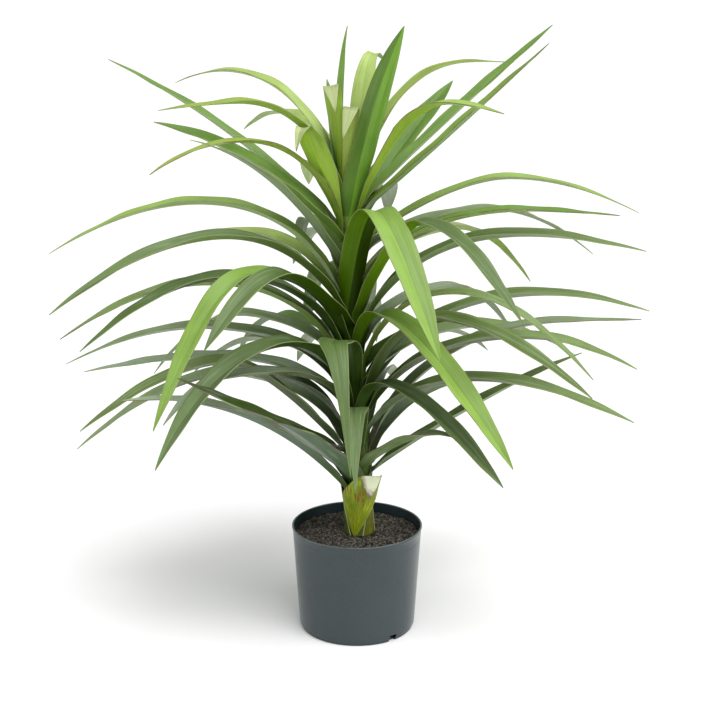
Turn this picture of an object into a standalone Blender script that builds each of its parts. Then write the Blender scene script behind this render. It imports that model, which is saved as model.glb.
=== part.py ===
# Artificial yucca in a round pot: pot, soil, leaning stem, lowest sheath, tip tuft and strap leaves.
# World +Z is up, the viewer stands on the -Y side, and the origin is the centre of the pot's underside.

import math
from collections import namedtuple

import bmesh
import bpy
from mathutils import Vector

MM = 0.001
GAP = 0.3
MERGE = 0.00001

# Pot, in millimetres
POT_HEIGHT = 139.0
RIM_RADIUS = 85.0
BASE_RADIUS = 75.6
LIP_HEIGHT = 3.5
LIP_STANDS_OUT = 1.6
WALL = 2.2
FLOOR = 3.0
FOOT_HEIGHT = 4.5
FOOT_SET_IN = 1.8
CREASE_BELOW_RIM = 13.5
CREASE_DEPTH = 0.5
NOTCH_WIDTH = 10.5
NOTCH_HEIGHT = 9.0
NOTCH_BEARING = -54.0
NOTCH_DEPTH = 4.0
EDGE = 0.7
CREASE_HALF_HEIGHT = 1.2
POT_STEPS = 56

# Soil
SOIL_BELOW_RIM = 10.5
SOIL_CROWN = 2.0
SOIL_SEAT_MARGIN = 2.0
SOIL_MIDWAY_DROP = 0.5
SOIL_STEPS = 36

# Stem: a straight tapering stem that leans a little to the left
STEM_FOOT_RADIUS = 20.5
STEM_LOW_RADIUS = 18.0
STEM_TOP_RADIUS = 11.0
STEM_FLARE_HEIGHT = 60.0
STEM_FOOT_X = 3.5
STEM_LEAN = -15.0 / 440.0
STEM_TOP = 498.0
STEM_STEPS = 20
STEM_RINGS = 12

# Lowest sheath, wrapped round the front of the stem
SHEATH_BEARING = 268.0
SHEATH_LENGTH = 74.0
SHEATH_HALF_ANGLE = 78.0
SHEATH_FLARE = 6.0
SHEATH_THICKNESS = 1.6
SHEATH_FOOT_RISE = 1.5
SHEATH_FOOT_SHARE = 0.16
SHEATH_TOP_SLOPE = 6.0
SHEATH_WIDENS = 1.3
SHEATH_STANDS_OFF = 0.96
SHEATH_ACROSS = 10
SHEATH_ALONG = 8

# Leaves
LEAF_WIDTH = 32.0
LEAF_BOW = 0.3
LEAF_FALL = 0.45
LEAF_THICKNESS_SHARE = 0.0102
LEAF_ROWS = 12
FOOT_WIDTH = 12.0
TIP_WIDTH = 1.6
TAPER_POWER = 1.7
WIDEST_FROM = 0.22
TAPERS_FROM = 0.42
FOOT_TROUGH = 7.0
BLADE_TROUGH = 25.0
TUFT_TIP = 592.0
TUFT_TIP_RADIUS = 2.5
TUFT_FOOT_OUT = 2.0
LINE_STEPS = 24
TROUGH_FULL_AT = 0.35
SPLIT_PAST_CREST = 0.03
SPLIT_GAP = 0.006
TANGENT_REACH = 1.0
FEWEST_ROWS = 4
YOUNG_ABOVE = 430.0
GROWN_ABOVE = 320.0

Leaf = namedtuple("Leaf", "foot bearing crest tip width bow fall swing split")


# One leaf: the height of its foot on the stem, its bearing, then reach and height of crest and of tip.
# bow and fall: how far its two arcs keep their first direction; swing: how far the tip strays sideways.
# Bearings: 0 is right, 90 is away from the viewer, 180 is left, 270 is towards the viewer.
def leaf(foot, bearing, crest, tip, width=LEAF_WIDTH, bow=LEAF_BOW, fall=LEAF_FALL, swing=0.0, split=False):
    return Leaf(foot, bearing, crest, tip, width, bow, fall, swing, split)


TUFT_LEAVES = [
    leaf(562, 115, (18, 700), (30, 773), 22),
    leaf(546, 140, (35, 650), (48, 709), 26),
    leaf(552, 215, (38, 697), (50, 668), 26, bow=0.7, fall=0.7),
    leaf(550, 258, (24, 680), (40, 656), 24, bow=0.7, fall=0.7),
    leaf(548, 60, (42, 740), (66, 731), 30, bow=0.5),
    leaf(537, 55, (60, 680), (103, 772), 36),
    leaf(558, 40, (200, 726), (270, 722), 28),
    leaf(546, 320, (143, 689), (215, 682), 30),
    leaf(546, 52, (120, 640), (205, 699), 32),
    leaf(546, 25, (150, 665), (275, 772), 26),
    leaf(537, 2, (125, 650), (231, 753), 26),
    leaf(565, 155, (185, 716), (257, 700), 28),
    leaf(552, 205, (158, 686), (250, 681), 28),
    leaf(558, 125, (170, 655), (270, 627), 28),
    leaf(540, 215, (77, 667), (94, 648), 32, bow=0.6, fall=0.6),
    leaf(545, 115, (150, 592), (265, 535), 30),
    leaf(521, 170, (160, 640), (313, 731), 24),
    leaf(516, 215, (173, 640), (282, 616), 28),
    leaf(506, 200, (130, 610), (250, 668), 30),
    leaf(502, 5, (190, 588), (356, 542), 30),
    leaf(505, 70, (150, 560), (270, 505), 30),
]

SIDE_LEAVES = {
    "left": [
        leaf(477, 222, (140, 590), (270, 671), 30),
        leaf(444, 178, (195, 557), (387, 493), 34),
        leaf(432, 142, (178, 498), (308, 478), 30),
        leaf(428, 205, (185, 526), (388, 450), 34, bow=0.25),
        leaf(370, 203, (178, 474), (352, 400), 32),
        leaf(355, 189, (190, 464), (368, 402), 32),
        leaf(347, 151, (163, 400), (322, 300), 28),
        leaf(334, 172, (190, 391), (385, 338), 30),
        leaf(300, 178, (175, 361), (350, 342), 30),
        leaf(272, 188, (152, 349), (355, 258), 32),
        leaf(290, 217, (205, 366), (282, 322), 28, bow=0.12),
        leaf(241, 204, (182, 368), (358, 310), 34, bow=0.7),
        leaf(275, 235, (180, 345), (335, 411), 28),
        leaf(213, 208, (165, 305), (312, 346), 28),
    ],
    "front": [
        leaf(432, 290, (72, 562), (217, 411), 38, bow=0.44, fall=0.25, split=True),
        leaf(385, 223, (176, 491), (315, 334), 38, bow=0.35),
        leaf(408, 238, (150, 490), (268, 430), 28, bow=0.15),
        leaf(422, 318, (104, 542), (272, 455), 30, bow=0.7, swing=-5.0),
        leaf(380, 303, (65, 430), (291, 299), 40),
        leaf(330, 256, (120, 412), (208, 277), 42, bow=0.25, fall=0.3, swing=12.0, split=True),
        leaf(305, 225, (139, 397), (322, 292), 38),
        leaf(297, 306, (72, 341), (291, 280), 38),
        leaf(261, 270, (130, 330), (206, 257), 32, fall=0.3),
        leaf(222, 238, (95, 288), (175, 318), 42),
        leaf(215, 302, (140, 298), (215, 313), 28),
    ],
    "right": [
        leaf(490, 30, (188, 536), (376, 458), 30),
        leaf(460, 347, (226, 558), (318, 556), 30, bow=0.18),
        leaf(405, 350, (220, 524), (353, 508), 36),
        leaf(358, 338, (138, 457), (312, 372), 30, bow=0.3),
        leaf(335, 352, (248, 450), (361, 431), 34, bow=0.2),
        leaf(307, 327, (125, 425), (323, 358), 34, bow=0.45),
        leaf(350, 40, (170, 385), (290, 345), 26),
        leaf(290, 345, (230, 397), (350, 366), 34),
        leaf(325, 24, (165, 380), (340, 320), 34),
        leaf(246, 12, (270, 383), (383, 392), 28),
        leaf(266, 340, (182, 346), (353, 308), 34),
        leaf(211, 354, (160, 316), (282, 378), 28),
    ],
    "back": [
        leaf(470, 120, (125, 512), (175, 480), 32, bow=0.5, fall=0.5),
        leaf(451, 37, (157, 512), (300, 425), 30),
        leaf(445, 108, (140, 500), (300, 430), 32),
        leaf(405, 105, (160, 450), (300, 325), 30),
        leaf(395, 78, (150, 445), (320, 355), 32),
        leaf(380, 47, (162, 428), (326, 342), 28),
        leaf(386, 128, (150, 388), (275, 316), 28),
        leaf(345, 85, (170, 395), (340, 300), 32),
        leaf(312, 138, (150, 360), (315, 285), 32),
        leaf(300, 60, (170, 355), (345, 290), 32),
        leaf(285, 105, (170, 345), (350, 270), 32),
        leaf(250, 150, (170, 315), (350, 260), 32),
        leaf(228, 38, (180, 300), (350, 265), 32),
        leaf(225, 80, (180, 295), (340, 240), 32),
    ],
}

# Plain colours: base colour and roughness
FINISHES = {
    "pot": ((0.065, 0.088, 0.093), 0.42),
    "soil": ((0.072, 0.058, 0.047), 0.95),
    "stem": ((0.17, 0.22, 0.07), 0.7),
    "sheath": ((0.38, 0.36, 0.13), 0.6),
    "leaf_young": ((0.30, 0.48, 0.08), 0.5),
    "leaf_grown": ((0.11, 0.24, 0.07), 0.5),
    "leaf_old": ((0.05, 0.12, 0.07), 0.5),
}


def clear_scene():
    for obj in list(bpy.data.objects):
        bpy.data.objects.remove(obj)


def new_collection(name):
    collection = bpy.data.collections.new(name)
    bpy.context.scene.collection.children.link(collection)
    return collection


def finish_material(name):
    material = bpy.data.materials.get(name)
    if material is None:
        colour, roughness = FINISHES[name]
        material = bpy.data.materials.new(name)
        material.use_nodes = True
        shader = material.node_tree.nodes["Principled BSDF"]
        shader.inputs["Base Color"].default_value = (*colour, 1.0)
        shader.inputs["Roughness"].default_value = roughness
        shader.inputs["Metallic"].default_value = 0.0
    return material


def add_object(name, mesh, collection, finish):
    obj = bpy.data.objects.new(name, mesh)
    collection.objects.link(obj)
    mesh.materials.append(finish_material(finish))
    return obj


def mix(a, b, share):
    return a + (b - a) * share


def ease(share):
    share = min(max(share, 0.0), 1.0)
    return share * share * (3.0 - 2.0 * share)


def outward(bearing):
    angle = math.radians(bearing)
    return Vector((math.cos(angle), math.sin(angle), 0.0))


def sideways(bearing):
    return outward(bearing + 90.0)


# A profile of (radius, height) points, down the outer side, turned round the upright axis
def turned_object(name, profile, steps, collection, finish):
    mesh = bpy.data.meshes.new(name)
    points = [(radius * MM, 0.0, height * MM) for radius, height in profile]
    edges = [(i, i + 1) for i in range(len(points) - 1)]
    mesh.from_pydata(points, edges, [])
    obj = add_object(name, mesh, collection, finish)
    screw = obj.modifiers.new("Turn", "SCREW")
    screw.axis = "Z"
    screw.angle = math.tau
    screw.steps = steps
    screw.render_steps = steps
    screw.use_merge_vertices = True
    screw.merge_threshold = MERGE
    screw.use_smooth_shade = True
    return obj


# A grid of strips, bent by place(across, along) with both from 0 to 1, made solid by its thickness
def sheet_object(name, across, along, place, thickness, collection, finish):
    bm = bmesh.new()
    bmesh.ops.create_grid(bm, x_segments=across, y_segments=along, size=0.5)
    for vert in bm.verts:
        vert.co = place(vert.co.x + 0.5, vert.co.y + 0.5) * MM
    mesh = bpy.data.meshes.new(name)
    bm.to_mesh(mesh)
    bm.free()
    mesh.shade_smooth()
    obj = add_object(name, mesh, collection, finish)
    solidify = obj.modifiers.new("Thickness", "SOLIDIFY")
    solidify.thickness = thickness * MM
    solidify.offset = 0.0
    solidify.use_even_offset = True
    return obj


def pot_wall_radius(height):
    return mix(BASE_RADIUS, RIM_RADIUS - LIP_STANDS_OUT, height / POT_HEIGHT)


def pot_inner_radius(height):
    return pot_wall_radius(height) - WALL


def pot_profile():
    lip = POT_HEIGHT - LIP_HEIGHT
    crease = POT_HEIGHT - CREASE_BELOW_RIM
    foot_radius = BASE_RADIUS - FOOT_SET_IN
    return [
        (0.0, FLOOR),
        (pot_inner_radius(FLOOR), FLOOR),
        (pot_inner_radius(POT_HEIGHT), POT_HEIGHT - EDGE),
        (pot_inner_radius(POT_HEIGHT) + EDGE, POT_HEIGHT),
        (RIM_RADIUS - EDGE, POT_HEIGHT),
        (RIM_RADIUS, POT_HEIGHT - EDGE),
        (RIM_RADIUS, lip + EDGE),
        (pot_wall_radius(lip), lip),
        (pot_wall_radius(crease), crease + CREASE_HALF_HEIGHT),
        (pot_wall_radius(crease) - CREASE_DEPTH, crease),
        (pot_wall_radius(crease), crease - CREASE_HALF_HEIGHT),
        (pot_wall_radius(FOOT_HEIGHT), FOOT_HEIGHT + EDGE),
        (foot_radius, FOOT_HEIGHT),
        (foot_radius, EDGE),
        (foot_radius - EDGE, 0.0),
        (0.0, 0.0),
    ]


def make_pot(collection, cutters):
    pot = turned_object("pot", pot_profile(), POT_STEPS, collection, "pot")
    bm = bmesh.new()
    bmesh.ops.create_cube(bm, size=1.0)
    bmesh.ops.scale(bm, verts=bm.verts, vec=(NOTCH_DEPTH * MM, NOTCH_WIDTH * MM, 2.0 * NOTCH_HEIGHT * MM))
    mesh = bpy.data.meshes.new("foot_notch")
    bm.to_mesh(mesh)
    bm.free()
    cutter = bpy.data.objects.new("foot_notch", mesh)
    cutters.objects.link(cutter)
    cutter.location = outward(NOTCH_BEARING) * BASE_RADIUS * MM
    cutter.rotation_euler.z = math.radians(NOTCH_BEARING)
    cutter.hide_render = True
    cutter.display_type = "WIRE"
    cut = pot.modifiers.new("Notch", "BOOLEAN")
    cut.operation = "DIFFERENCE"
    cut.object = cutter


def make_soil(collection):
    top = POT_HEIGHT - SOIL_BELOW_RIM
    edge = top - SOIL_CROWN
    bottom = FLOOR + GAP
    seat = STEM_FOOT_RADIUS + SOIL_SEAT_MARGIN
    rim = pot_inner_radius(edge) - GAP
    profile = [
        (0.0, top),
        (seat, top),
        (mix(seat, rim, 0.5), top - SOIL_MIDWAY_DROP),
        (rim, edge),
        (pot_inner_radius(bottom) - GAP, bottom),
        (0.0, bottom),
    ]
    turned_object("soil", profile, SOIL_STEPS, collection, "soil")


# Stem
def stem_bottom():
    return POT_HEIGHT - SOIL_BELOW_RIM + GAP


def stem_centre(height):
    return Vector((STEM_FOOT_X + STEM_LEAN * (height - stem_bottom()), 0.0, height))


def stem_radius(height):
    share = (height - stem_bottom()) / (STEM_TOP - stem_bottom())
    above_flare = max(0.0, 1.0 - (height - stem_bottom()) / STEM_FLARE_HEIGHT)
    flare = (STEM_FOOT_RADIUS - STEM_LOW_RADIUS) * above_flare ** 2
    return mix(STEM_LOW_RADIUS, STEM_TOP_RADIUS, share) + flare


def make_stem(collection):
    bm = bmesh.new()
    bmesh.ops.create_cone(
        bm, cap_ends=True, segments=STEM_STEPS, radius1=1.0, radius2=1.0, depth=1.0
    )
    sides = [edge for edge in bm.edges if abs(edge.verts[0].co.z - edge.verts[1].co.z) > 0.5]
    bmesh.ops.subdivide_edges(bm, edges=sides, cuts=STEM_RINGS)
    for vert in bm.verts:
        height = mix(stem_bottom(), STEM_TOP, vert.co.z + 0.5)
        across = Vector((vert.co.x, vert.co.y, 0.0)) * stem_radius(height)
        vert.co = (stem_centre(height) + across) * MM
    mesh = bpy.data.meshes.new("stem")
    bm.to_mesh(mesh)
    bm.free()
    mesh.shade_smooth()
    mesh.set_sharp_from_angle(angle=math.radians(50.0))
    add_object("stem", mesh, collection, "stem")


# Sheath: a shield that narrows to a point at the soil and stands away from the stem at its top
def sheath_place(across, along):
    height = stem_bottom() + SHEATH_FOOT_RISE + SHEATH_LENGTH * along
    half_angle = SHEATH_HALF_ANGLE * mix(SHEATH_FOOT_SHARE, 1.0, ease(along * SHEATH_WIDENS))
    bearing = SHEATH_BEARING + half_angle * (2.0 * across - 1.0)
    radius = stem_radius(height) + GAP + SHEATH_STANDS_OFF + SHEATH_FLARE * along ** 2
    top_slope = SHEATH_TOP_SLOPE * (across - 0.5) * along
    return stem_centre(height) + outward(bearing) * radius + Vector((0.0, 0.0, top_slope))


def make_sheath(collection):
    sheet_object(
        "sheath", SHEATH_ACROSS, SHEATH_ALONG, sheath_place, SHEATH_THICKNESS, collection, "sheath"
    )


# Leaves
def arc_point(start, hold, end, share):
    return start * (1.0 - share) ** 2 + hold * 2.0 * share * (1.0 - share) + end * share ** 2


# The middle line rises from the foot to the crest and falls on to the tip, in two arcs
def leaf_line(spec, foot_out):
    foot = stem_centre(spec.foot) + outward(spec.bearing) * foot_out
    crest = outward(spec.bearing) * spec.crest[0] + Vector((0.0, 0.0, spec.crest[1]))
    tip = outward(spec.bearing + spec.swing) * spec.tip[0] + Vector((0.0, 0.0, spec.tip[1]))
    if spec.crest[1] < spec.tip[1]:
        return [arc_point(foot, crest, tip, i / LINE_STEPS) for i in range(LINE_STEPS + 1)]
    rise = foot.lerp(crest, spec.bow)
    rise.z = crest.z
    over = crest.lerp(tip, spec.fall)
    over.z = crest.z
    points = [arc_point(foot, rise, crest, i / LINE_STEPS) for i in range(LINE_STEPS)]
    points += [arc_point(crest, over, tip, i / LINE_STEPS) for i in range(LINE_STEPS + 1)]
    return points


def line_lengths(points):
    lengths = [0.0]
    for a, b in zip(points, points[1:]):
        lengths.append(lengths[-1] + (b - a).length)
    return lengths


def point_at(points, lengths, distance):
    distance = min(max(distance, 0.0), lengths[-1])
    for i in range(1, len(points)):
        if distance <= lengths[i]:
            share = (distance - lengths[i - 1]) / (lengths[i] - lengths[i - 1])
            return points[i - 1].lerp(points[i], share)
    return points[-1]


def blade_width(spec, share):
    if share < TAPERS_FROM:
        return mix(FOOT_WIDTH, spec.width, ease(share / WIDEST_FROM))
    return mix(spec.width, TIP_WIDTH, ((share - TAPERS_FROM) / (1.0 - TAPERS_FROM)) ** TAPER_POWER)


def leaf_object(name, spec, foot_out, stretch, collection, finish):
    points = leaf_line(spec, foot_out)
    lengths = line_lengths(points)
    total = lengths[-1]
    side = sideways(spec.bearing)

    def place(across, along):
        share = mix(stretch[0], stretch[1], along)
        distance = share * total
        ahead = point_at(points, lengths, distance + TANGENT_REACH)
        behind = point_at(points, lengths, distance - TANGENT_REACH)
        tangent = (ahead - behind).normalized()
        up = tangent.cross(side)
        trough = math.radians(mix(FOOT_TROUGH, BLADE_TROUGH, ease(share / TROUGH_FULL_AT)))
        offset = (2.0 * across - 1.0) * 0.5 * blade_width(spec, share)
        shift = side * offset * math.cos(trough) + up * abs(offset) * math.sin(trough)
        return point_at(points, lengths, distance) + shift

    rows = max(FEWEST_ROWS, round(LEAF_ROWS * (stretch[1] - stretch[0])))
    thickness = total * LEAF_THICKNESS_SHARE
    return sheet_object(name, 2, rows, place, thickness, collection, finish)


def leaf_finish(spec):
    if spec.foot > YOUNG_ABOVE:
        return "leaf_young"
    if spec.foot > GROWN_ABOVE:
        return "leaf_grown"
    return "leaf_old"


# How far out the foot's middle line starts, so that the leaf's inner face lies one gap off the stem
def seat_out(spec):
    bark = stem_radius(spec.foot) + GAP
    points = leaf_line(spec, bark)
    half_thickness = 0.5 * LEAF_THICKNESS_SHARE * line_lengths(points)[-1]
    climb = (points[1] - points[0]).normalized().z
    return bark + half_thickness * climb


def crest_share(spec, foot_out):
    points = leaf_line(spec, foot_out)
    lengths = line_lengths(points)
    return lengths[LINE_STEPS] / lengths[-1]


def make_leaves(collection):
    for side, specs in SIDE_LEAVES.items():
        for number, spec in enumerate(specs, 1):
            name = f"leaf_{side}_{number}"
            foot_out = seat_out(spec)
            finish = leaf_finish(spec)
            if spec.split:
                bend = crest_share(spec, foot_out) + SPLIT_PAST_CREST
                leaf_object(name + "_rise", spec, foot_out, (0.0, bend), collection, finish)
                leaf_object(name + "_fall", spec, foot_out, (bend + SPLIT_GAP, 1.0), collection, finish)
            else:
                leaf_object(name, spec, foot_out, (0.0, 1.0), collection, finish)


# Only the largest connected shell stays: a hollow that joining has sealed is filled, a loose scrap goes
def keep_main_shell(mesh):
    bm = bmesh.new()
    bm.from_mesh(mesh)
    left = set(bm.verts)
    shells = []
    while left:
        shell = {left.pop()}
        edge_of_shell = list(shell)
        while edge_of_shell:
            vert = edge_of_shell.pop()
            new = {edge.other_vert(vert) for edge in vert.link_edges} - shell
            shell |= new
            edge_of_shell.extend(new)
        left -= shell
        shells.append(shell)
    main_shell = max(shells, key=len)
    bmesh.ops.delete(bm, geom=[vert for vert in bm.verts if vert not in main_shell], context="VERTS")
    bm.to_mesh(mesh)
    bm.free()


# Tuft: a bud on the stem's tip with the youngest leaves joined to it
def make_tuft(collection):
    bottom = STEM_TOP + GAP
    bm = bmesh.new()
    bmesh.ops.create_cone(
        bm, cap_ends=True, segments=STEM_STEPS, radius1=STEM_TOP_RADIUS, radius2=TUFT_TIP_RADIUS,
        depth=TUFT_TIP - bottom
    )
    middle = 0.5 * (bottom + TUFT_TIP)
    for vert in bm.verts:
        across = Vector((vert.co.x, vert.co.y, 0.0))
        vert.co = (stem_centre(vert.co.z + middle) + across) * MM
    mesh = bpy.data.meshes.new("tip_tuft")
    bm.to_mesh(mesh)
    bm.free()
    tuft = add_object("tip_tuft", mesh, collection, "leaf_young")
    joined = new_collection("tuft_leaves")
    for number, spec in enumerate(TUFT_LEAVES, 1):
        leaf_object(f"tuft_leaf_{number}", spec, TUFT_FOOT_OUT, (0.0, 1.0), joined, "leaf_young")
    union = tuft.modifiers.new("Join", "BOOLEAN")
    union.operation = "UNION"
    union.operand_type = "COLLECTION"
    union.solver = "MANIFOLD"
    union.collection = joined
    bpy.context.view_layer.update()
    depsgraph = bpy.context.evaluated_depsgraph_get()
    whole = bpy.data.meshes.new_from_object(tuft.evaluated_get(depsgraph))
    tuft.modifiers.remove(union)
    keep_main_shell(whole)
    tuft.data = whole
    for obj in list(joined.objects):
        bpy.data.objects.remove(obj)
    bpy.data.collections.remove(joined)


def main():
    clear_scene()
    plant = new_collection("potted_yucca")
    cutters = new_collection("cutters")
    make_pot(plant, cutters)
    make_soil(plant)
    make_stem(plant)
    make_sheath(plant)
    make_leaves(plant)
    make_tuft(plant)


main()
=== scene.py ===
import math
import random

import bmesh
import bpy
import numpy as np
from mathutils import Matrix, Vector, noise


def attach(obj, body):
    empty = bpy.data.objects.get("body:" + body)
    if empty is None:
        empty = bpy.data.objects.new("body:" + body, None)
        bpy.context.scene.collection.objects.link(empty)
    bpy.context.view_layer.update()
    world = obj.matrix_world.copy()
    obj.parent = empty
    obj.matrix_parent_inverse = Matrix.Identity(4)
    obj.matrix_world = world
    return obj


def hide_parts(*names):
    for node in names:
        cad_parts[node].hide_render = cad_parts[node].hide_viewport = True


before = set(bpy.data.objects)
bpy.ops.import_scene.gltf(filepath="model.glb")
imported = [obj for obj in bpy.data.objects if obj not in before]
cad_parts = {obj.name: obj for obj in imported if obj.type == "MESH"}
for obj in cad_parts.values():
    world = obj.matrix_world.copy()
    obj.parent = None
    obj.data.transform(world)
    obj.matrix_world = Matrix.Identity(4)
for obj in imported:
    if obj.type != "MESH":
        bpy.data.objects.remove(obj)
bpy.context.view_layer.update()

mm = 0.001  # all lengths below are in millimetres
joinWithin = 0.00001  # in metres
print("frame loaded:", len(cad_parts), "nodes")


# Small helpers
def mix(a, b, share):
    return a + (b - a) * share


def ease(share):
    share = min(max(share, 0.0), 1.0)
    return share * share * (3.0 - 2.0 * share)


def between(low, high, value):
    return ease((value - low) / (high - low))


def evenly(count):  # shares from 0 to 1
    return [i / count for i in range(count + 1)]


def outward(bearing):  # 0 is right, 90 is away from the viewer, 180 is left, 270 is towards the viewer
    angle = math.radians(bearing)
    return Vector((math.cos(angle), math.sin(angle), 0.0))


def sideways(bearing):
    return outward(bearing + 90.0)


def linked(name, data):
    thing = bpy.data.objects.new(name, data)
    bpy.context.scene.collection.objects.link(thing)
    return thing


def addObject(name, mesh, materials):
    for material in materials:
        mesh.materials.append(material)
    return linked(name, mesh)


def applyModifiers(thing):
    bpy.context.view_layer.update()
    seen = thing.evaluated_get(bpy.context.evaluated_depsgraph_get())
    whole = bpy.data.meshes.new_from_object(seen)
    thing.modifiers.clear()
    old = thing.data
    thing.data = whole
    bpy.data.meshes.remove(old)
    whole.name = thing.name


def thicken(thing, thickness, offset, underSlot=0):
    solidify = thing.modifiers.new("Thickness", "SOLIDIFY")
    solidify.thickness = thickness * mm
    solidify.offset = offset
    solidify.material_offset = underSlot
    applyModifiers(thing)


def weld(mesh, faceOut=False):
    bm = bmesh.new()
    bm.from_mesh(mesh)
    bmesh.ops.remove_doubles(bm, verts=bm.verts, dist=joinWithin)
    if faceOut:
        bmesh.ops.recalc_face_normals(bm, faces=bm.faces)
    bm.to_mesh(mesh)
    bm.free()


def finishPiece(thing, slot, *nodes):
    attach(thing, "root")
    if nodes:
        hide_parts(*nodes)


def asMesh(bm, name):
    mesh = bpy.data.meshes.new(name)
    bm.to_mesh(mesh)
    bm.free()
    return mesh


# A grid bent by place(across, along), both from 0 to 1, with its own map of the surface
def sheetMesh(name, columns, rows, place, faceSlot=None):
    bm = bmesh.new()
    bmesh.ops.create_grid(bm, x_segments=len(columns) - 1, y_segments=len(rows) - 1, size=0.5)
    surfaceMap = bm.loops.layers.uv.new("leafMap")
    spots = {}
    for vert in bm.verts:
        column = round((vert.co.x + 0.5) * (len(columns) - 1))
        row = round((vert.co.y + 0.5) * (len(rows) - 1))
        spots[vert] = (columns[column], rows[row])
    for face in bm.faces:
        for loop in face.loops:
            loop[surfaceMap].uv = spots[loop.vert]
        if faceSlot:
            middle = sum(spots[vert][0] for vert in face.verts) / len(face.verts)
            face.material_index = faceSlot(middle)
    for vert, (across, along) in spots.items():
        vert.co = place(across, along) * mm
    mesh = asMesh(bm, name)
    mesh.shade_smooth()
    return mesh


# Material building
def newMaterial(name):
    material = bpy.data.materials.new(name)
    material.use_nodes = True
    return material, material.node_tree, material.node_tree.nodes["Principled BSDF"]


def plug(tree, value, socket):
    if isinstance(value, bpy.types.NodeSocket):
        tree.links.new(value, socket)
    else:
        socket.default_value = value


def maths(tree, operation, *values):
    node = tree.nodes.new("ShaderNodeMath")
    node.operation = operation
    for value, socket in zip(values, node.inputs):
        plug(tree, value, socket)
    return node.outputs[0]


def times(tree, a, b):
    return maths(tree, "MULTIPLY", a, b)


def ranged(tree, value, low, high, toLow=0.0, toHigh=1.0):
    node = tree.nodes.new("ShaderNodeMapRange")
    for socket, number in zip(node.inputs, (value, low, high, toLow, toHigh)):
        plug(tree, number, socket)
    return node.outputs[0]


def blended(tree, factor, colourA, colourB, how="MIX"):
    node = tree.nodes.new("ShaderNodeMix")
    node.data_type = "RGBA"
    node.blend_type = how
    plug(tree, factor, node.inputs["Factor"])
    for colour, socket in ((colourA, node.inputs["A"]), (colourB, node.inputs["B"])):
        plug(tree, colour if isinstance(colour, bpy.types.NodeSocket) else (*colour, 1.0), socket)
    return node.outputs["Result"]


def noiseOf(tree, vector, scale, detail=3.0, roughness=0.5):
    node = tree.nodes.new("ShaderNodeTexNoise")
    plug(tree, vector, node.inputs["Vector"])
    node.inputs["Scale"].default_value = scale
    node.inputs["Detail"].default_value = detail
    node.inputs["Roughness"].default_value = roughness
    return node.outputs["Fac"]


def combined(tree, x, y, z=0.0):
    node = tree.nodes.new("ShaderNodeCombineXYZ")
    for value, socket in zip((x, y, z), node.inputs):
        plug(tree, value, socket)
    return node.outputs[0]


# Noise drawn out into streaks: so many across the piece, and so many along it
def streaksOf(tree, across, along, counts, detail=3.0, roughness=0.5, drift=0.0):
    acrossPlace = times(tree, across, counts[0])
    alongPlace = times(tree, along, counts[1])
    return noiseOf(tree, combined(tree, acrossPlace, alongPlace, drift), 1.0, detail, roughness)


def objectPlace(tree):
    return tree.nodes.new("ShaderNodeTexCoord").outputs["Object"]


def separated(tree, vector):
    node = tree.nodes.new("ShaderNodeSeparateXYZ")
    tree.links.new(vector, node.inputs[0])
    return node.outputs


def surfacePlace(tree):
    node = tree.nodes.new("ShaderNodeUVMap")
    node.uv_map = "leafMap"
    return separated(tree, node.outputs[0])[:2]


def dressShader(tree, shader, colour, roughness, gloss=0.5):
    tree.links.new(colour, shader.inputs["Base Color"])
    plug(tree, roughness, shader.inputs["Roughness"])
    shader.inputs["Specular IOR Level"].default_value = gloss


def bumped(tree, shader, height, distance, strength):
    node = tree.nodes.new("ShaderNodeBump")
    node.inputs["Strength"].default_value = strength
    node.inputs["Distance"].default_value = distance * mm
    tree.links.new(height, node.inputs["Height"])
    tree.links.new(node.outputs[0], shader.inputs["Normal"])


def shaded(colour, share):
    return tuple(channel * share for channel in colour)


# Leaf finishes: plain colours, each dealt out to whole leaves
leafColours = {
    "cream": (0.38, 0.46, 0.21),
    "paleLime": (0.38, 0.53, 0.15),
    "lime": (0.20, 0.345, 0.06),
    "spring": (0.26, 0.42, 0.035),
    "young": (0.27, 0.39, 0.055),
    "bright": (0.26, 0.41, 0.09),
    "fresh": (0.145, 0.28, 0.048),
    "jade": (0.20, 0.38, 0.11),
    "grass": (0.085, 0.19, 0.014),
    "shade": (0.045, 0.098, 0.001),
    "inner": (0.085, 0.175, 0.003),
    "mid": (0.10, 0.17, 0.045),
    "moss": (0.17, 0.26, 0.085),
    "leek": (0.12, 0.19, 0.066),
    "olive": (0.115, 0.18, 0.048),
    "bronze": (0.085, 0.12, 0.033),
    # a dark green, darkened further as painted shade for leaves in the crown's core
    "deep": (0.030, 0.062, 0.008),
    "blue": (0.09, 0.145, 0.085),
    "ash": (0.20, 0.28, 0.14),
    "grey": (0.31, 0.40, 0.27),
}
youngColours = ("cream", "paleLime", "lime", "spring", "young", "bright", "fresh", "jade", "grass")
innerColours = ("shade", "inner")  # undersides that stand far inside the crown, with almost none of the painted sheen
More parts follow.
